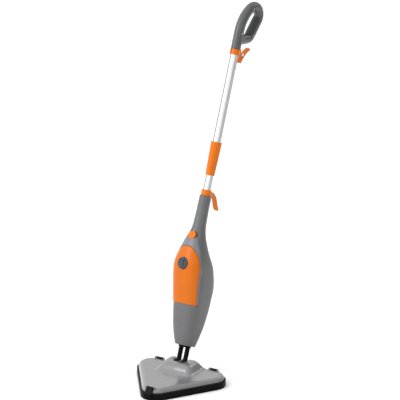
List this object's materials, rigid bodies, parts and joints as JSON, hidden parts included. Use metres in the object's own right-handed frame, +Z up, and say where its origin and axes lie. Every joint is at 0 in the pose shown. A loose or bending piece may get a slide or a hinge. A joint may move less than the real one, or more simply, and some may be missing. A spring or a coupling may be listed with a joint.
{
  "type": "steam mop",
  "caption": "Upright steam mop with a triangular hinged steam head, tear-drop housing with a front water tank, straight pole with cord hooks and a loop handle.",
  "frame": {"origin": "on the floor at the head's sole, straight below the neck's hinge pin", "axes": "+Z up, the head's nose towards -Y, the pole leans back along +Y"},
  "size_m": [0.306, 0.7015, 1.1115],
  "materials": {
    "shell_grey": "fine matt texture",
    "bezel_grey": "satin",
    "cover_grey": "gloss",
    "orange": "satin gloss",
    "tank_orange": "translucent orange gloss",
    "dark_gloss": "gloss",
    "black_plastic": "fine matt",
    "grip_rubber": "ribbed soft grip",
    "seal_rubber": "matt",
    "aluminium": "satin anodised",
    "steel": "zinc plated",
    "boiler_metal": "cast",
    "board_green": "solder mask"
  },
  "bodies": {
    "housing": {"front_shell": "shell_grey", "rear_shell": "shell_grey", "bezel": "bezel_grey", "screw_posts": "shell_grey", "housing_screws": "steel", "cord_gland": "black_plastic", "tank_bay_wall": "black_plastic", "button_seat": "black_plastic", "lower_tube": "aluminium", "tube_socket": "black_plastic", "upper_tube": "aluminium", "lower_collar": "orange", "upper_collar": "orange", "hook_pivot_screw": "steel", "handle_left": "shell_grey", "handle_right": "shell_grey", "grip_pad": "grip_rubber", "handle_screws": "steel", "swivel_bearing": "black_plastic", "steam_fitting": "steel", "boiler": "boiler_metal", "thermostat": "steel", "inner_frame": "black_plastic", "pump": "black_plastic", "feed_hose": "seal_rubber", "circuit_board": "board_green", "button_spring": "steel"},
    "tank": {"tank_shell": "tank_orange", "tank_back_wall": "tank_orange", "tank_valve": "seal_rubber"},
    "filler_cap": {"filler_cap": "dark_gloss"},
    "release_button": {"release_button": "orange"},
    "coupling_sleeve": {"coupling_sleeve": "orange"},
    "upper_hook": {"upper_cord_hook": "orange"},
    "neck_fork": {"neck_fork": "black_plastic"},
    "head": {"pivot_pin": "steel", "base_tray": "black_plastic", "edge_seal": "seal_rubber", "head_cover": "cover_grey", "head_posts": "cover_grey", "head_screws": "steel", "spray_plate": "steel", "steam_manifold": "black_plastic", "clip_lugs": "cover_grey", "clip_pins": "steel"},
    "clip_front": {"clip_front": "black_plastic"},
    "clip_left": {"clip_left": "black_plastic"},
    "clip_right": {"clip_right": "black_plastic"}
  },
  "joints": [
    {"name": "neck_swivel", "type": "hinge", "parent": "housing", "child": "neck_fork", "pos_m": [0, 0, 0.055], "axis": [0, 0.4003, 0.9164], "range_deg": [-82, 98]},
    {"name": "neck_pitch", "type": "hinge", "parent": "neck_fork", "child": "head", "pos_m": [0, 0, 0.055], "axis": [1, 0, 0], "range_deg": [-23.6, 56.4]},
    {"name": "tank_slide", "type": "slide", "parent": "housing", "child": "tank", "axis": [-0.1392, -0.9074, 0.3965], "range_m": [0, 0.09]},
    {"name": "cap_turn", "type": "hinge", "parent": "tank", "child": "filler_cap", "pos_m": [-0.01329, 0.03625, 0.37418], "axis": [-0.1392, -0.9074, 0.3965], "range_deg": [0, 90]},
    {"name": "button_press", "type": "slide", "parent": "housing", "child": "release_button", "axis": [0.1331, 0.7507, -0.647], "range_m": [0, 0.003], "stiffness_N_per_m": 800, "springref_m": -0.004, "deforming": ["button_spring"]},
    {"name": "sleeve_twist", "type": "hinge", "parent": "housing", "child": "coupling_sleeve", "pos_m": [-0.00724, 0.18942, 0.61719], "axis": [0, 0.4003, 0.9164], "range_deg": [0, 60]},
    {"name": "upper_hook_turn", "type": "hinge", "parent": "housing", "child": "upper_hook", "pos_m": [-0.00399, 0.3659, 0.9635], "axis": [0.1392, 0.9074, -0.3965], "range_deg": [0, 180]},
    {"name": "clip_front_hinge", "type": "hinge", "parent": "head", "child": "clip_front", "pos_m": [0, -0.193, 0.0385], "axis": [-1, 0, 0], "range_deg": [0, 50], "stiffness_Nm_per_rad": 0.05, "springref_deg": -17.19},
    {"name": "clip_left_hinge", "type": "hinge", "parent": "head", "child": "clip_left", "pos_m": [-0.097, 0.033, 0.0385], "axis": [1, 0, 0], "range_deg": [0, 50], "stiffness_Nm_per_rad": 0.05, "springref_deg": -17.19},
    {"name": "clip_right_hinge", "type": "hinge", "parent": "head", "child": "clip_right", "pos_m": [0.097, 0.033, 0.0385], "axis": [1, 0, 0], "range_deg": [0, 50], "stiffness_Nm_per_rad": 0.05, "springref_deg": -17.19}
  ]
}
